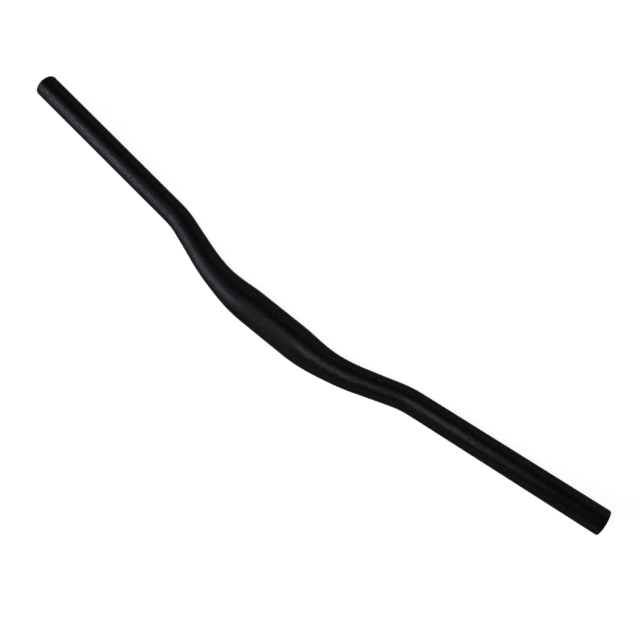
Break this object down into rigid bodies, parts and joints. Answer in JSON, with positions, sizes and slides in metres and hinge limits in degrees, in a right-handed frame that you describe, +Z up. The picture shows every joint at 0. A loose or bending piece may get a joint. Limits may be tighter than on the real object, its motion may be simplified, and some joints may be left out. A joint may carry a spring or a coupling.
{
  "type": "riser handlebar",
  "caption": "Bicycle riser handlebar of black anodised aluminium tube, swollen where the stem clamps it, bent up into a low rise and back into straight, open-ended grips.",
  "frame": {"origin": "centre of the stem clamp, on the tube's axis", "axes": "the bar lies on its front: +X runs along the clamp to the rider's right, +Y is the way the rise goes, and +Z is up and towards the rider"},
  "size_m": [0.623, 0.0689, 0.0394],
  "materials": {
    "anodised_tube": "bead-blasted, matt black anodised"
  },
  "bodies": {
    "root": {"handlebar": "anodised_tube"}
  },
  "joints": []
}
